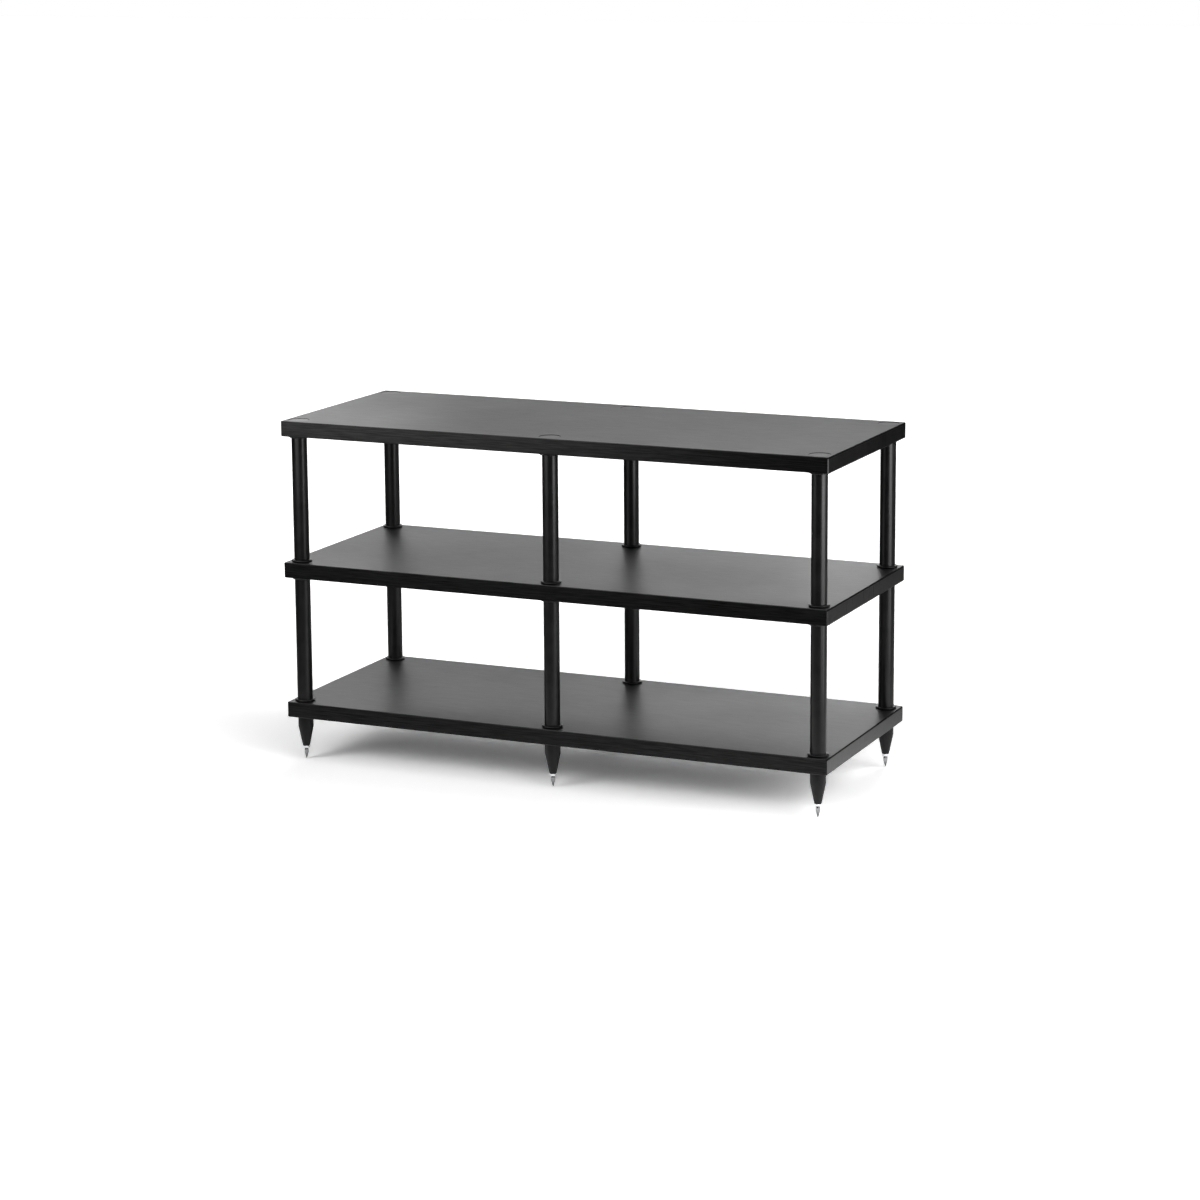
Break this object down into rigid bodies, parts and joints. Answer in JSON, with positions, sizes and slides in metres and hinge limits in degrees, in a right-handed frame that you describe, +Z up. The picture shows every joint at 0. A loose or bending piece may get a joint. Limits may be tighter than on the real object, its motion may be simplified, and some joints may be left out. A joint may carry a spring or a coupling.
{
  "type": "audio equipment rack",
  "caption": "Low, wide audio rack: thick black boards held apart by screwed round columns, on tapered feet with levelling spikes.",
  "frame": {"origin": "on the floor, in the plane of the spike tips, under the middle of the rack", "axes": "+Z up; +X along the width, to the right of someone who faces the front; the front faces -Y"},
  "size_m": [1.12, 0.43, 0.674],
  "materials": {
    "board_laminate": "satin black wood-grain laminate",
    "column_paint": "satin black powder coat",
    "flange_paint": "satin black paint on turned metal",
    "foot_paint": "satin black paint on turned metal",
    "disc_plastic": "matt black",
    "zinc_steel": "zinc plated",
    "bright_chrome": "polished, bright plated"
  },
  "bodies": {
    "rack_frame": {"bottom_shelf": "board_laminate", "middle_shelf": "board_laminate", "top_shelf": "board_laminate", "lower_flange_front_left": "flange_paint", "lower_column_front_left": "column_paint", "upper_flange_front_left": "flange_paint", "upper_column_front_left": "column_paint", "top_screw_front_left": "zinc_steel", "cover_disc_front_left": "disc_plastic", "foot_front_left": "foot_paint", "lower_flange_front_middle": "flange_paint", "lower_column_front_middle": "column_paint", "upper_flange_front_middle": "flange_paint", "upper_column_front_middle": "column_paint", "top_screw_front_middle": "zinc_steel", "cover_disc_front_middle": "disc_plastic", "foot_front_middle": "foot_paint", "lower_flange_front_right": "flange_paint", "lower_column_front_right": "column_paint", "upper_flange_front_right": "flange_paint", "upper_column_front_right": "column_paint", "top_screw_front_right": "zinc_steel", "cover_disc_front_right": "disc_plastic", "foot_front_right": "foot_paint", "lower_flange_back_left": "flange_paint", "lower_column_back_left": "column_paint", "upper_flange_back_left": "flange_paint", "upper_column_back_left": "column_paint", "top_screw_back_left": "zinc_steel", "cover_disc_back_left": "disc_plastic", "foot_back_left": "foot_paint", "lower_flange_back_middle": "flange_paint", "lower_column_back_middle": "column_paint", "upper_flange_back_middle": "flange_paint", "upper_column_back_middle": "column_paint", "top_screw_back_middle": "zinc_steel", "cover_disc_back_middle": "disc_plastic", "foot_back_middle": "foot_paint", "lower_flange_back_right": "flange_paint", "lower_column_back_right": "column_paint", "upper_flange_back_right": "flange_paint", "upper_column_back_right": "column_paint", "top_screw_back_right": "zinc_steel", "cover_disc_back_right": "disc_plastic", "foot_back_right": "foot_paint"},
    "spike_front_left": {"spike_front_left": "bright_chrome"},
    "lock_nut_front_left": {"lock_nut_front_left": "bright_chrome"},
    "spike_front_middle": {"spike_front_middle": "bright_chrome"},
    "lock_nut_front_middle": {"lock_nut_front_middle": "bright_chrome"},
    "spike_front_right": {"spike_front_right": "bright_chrome"},
    "lock_nut_front_right": {"lock_nut_front_right": "bright_chrome"},
    "spike_back_left": {"spike_back_left": "bright_chrome"},
    "lock_nut_back_left": {"lock_nut_back_left": "bright_chrome"},
    "spike_back_middle": {"spike_back_middle": "bright_chrome"},
    "lock_nut_back_middle": {"lock_nut_back_middle": "bright_chrome"},
    "spike_back_right": {"spike_back_right": "bright_chrome"},
    "lock_nut_back_right": {"lock_nut_back_right": "bright_chrome"}
  },
  "joints": [
    {"name": "spike_height_front_left", "type": "slide", "parent": "rack_frame", "child": "spike_front_left", "axis": [0, 0, -1], "range_m": [-0.004, 0.01]},
    {"name": "lock_nut_height_front_left", "type": "slide", "parent": "rack_frame", "child": "lock_nut_front_left", "axis": [0, 0, -1], "range_m": [0, 0.003]},
    {"name": "spike_height_front_middle", "type": "slide", "parent": "rack_frame", "child": "spike_front_middle", "axis": [0, 0, -1], "range_m": [-0.004, 0.01]},
    {"name": "lock_nut_height_front_middle", "type": "slide", "parent": "rack_frame", "child": "lock_nut_front_middle", "axis": [0, 0, -1], "range_m": [0, 0.003]},
    {"name": "spike_height_front_right", "type": "slide", "parent": "rack_frame", "child": "spike_front_right", "axis": [0, 0, -1], "range_m": [-0.004, 0.01]},
    {"name": "lock_nut_height_front_right", "type": "slide", "parent": "rack_frame", "child": "lock_nut_front_right", "axis": [0, 0, -1], "range_m": [0, 0.003]},
    {"name": "spike_height_back_left", "type": "slide", "parent": "rack_frame", "child": "spike_back_left", "axis": [0, 0, -1], "range_m": [-0.004, 0.01]},
    {"name": "lock_nut_height_back_left", "type": "slide", "parent": "rack_frame", "child": "lock_nut_back_left", "axis": [0, 0, -1], "range_m": [0, 0.003]},
    {"name": "spike_height_back_middle", "type": "slide", "parent": "rack_frame", "child": "spike_back_middle", "axis": [0, 0, -1], "range_m": [-0.004, 0.01]},
    {"name": "lock_nut_height_back_middle", "type": "slide", "parent": "rack_frame", "child": "lock_nut_back_middle", "axis": [0, 0, -1], "range_m": [0, 0.003]},
    {"name": "spike_height_back_right", "type": "slide", "parent": "rack_frame", "child": "spike_back_right", "axis": [0, 0, -1], "range_m": [-0.004, 0.01]},
    {"name": "lock_nut_height_back_right", "type": "slide", "parent": "rack_frame", "child": "lock_nut_back_right", "axis": [0, 0, -1], "range_m": [0, 0.003]}
  ]
}
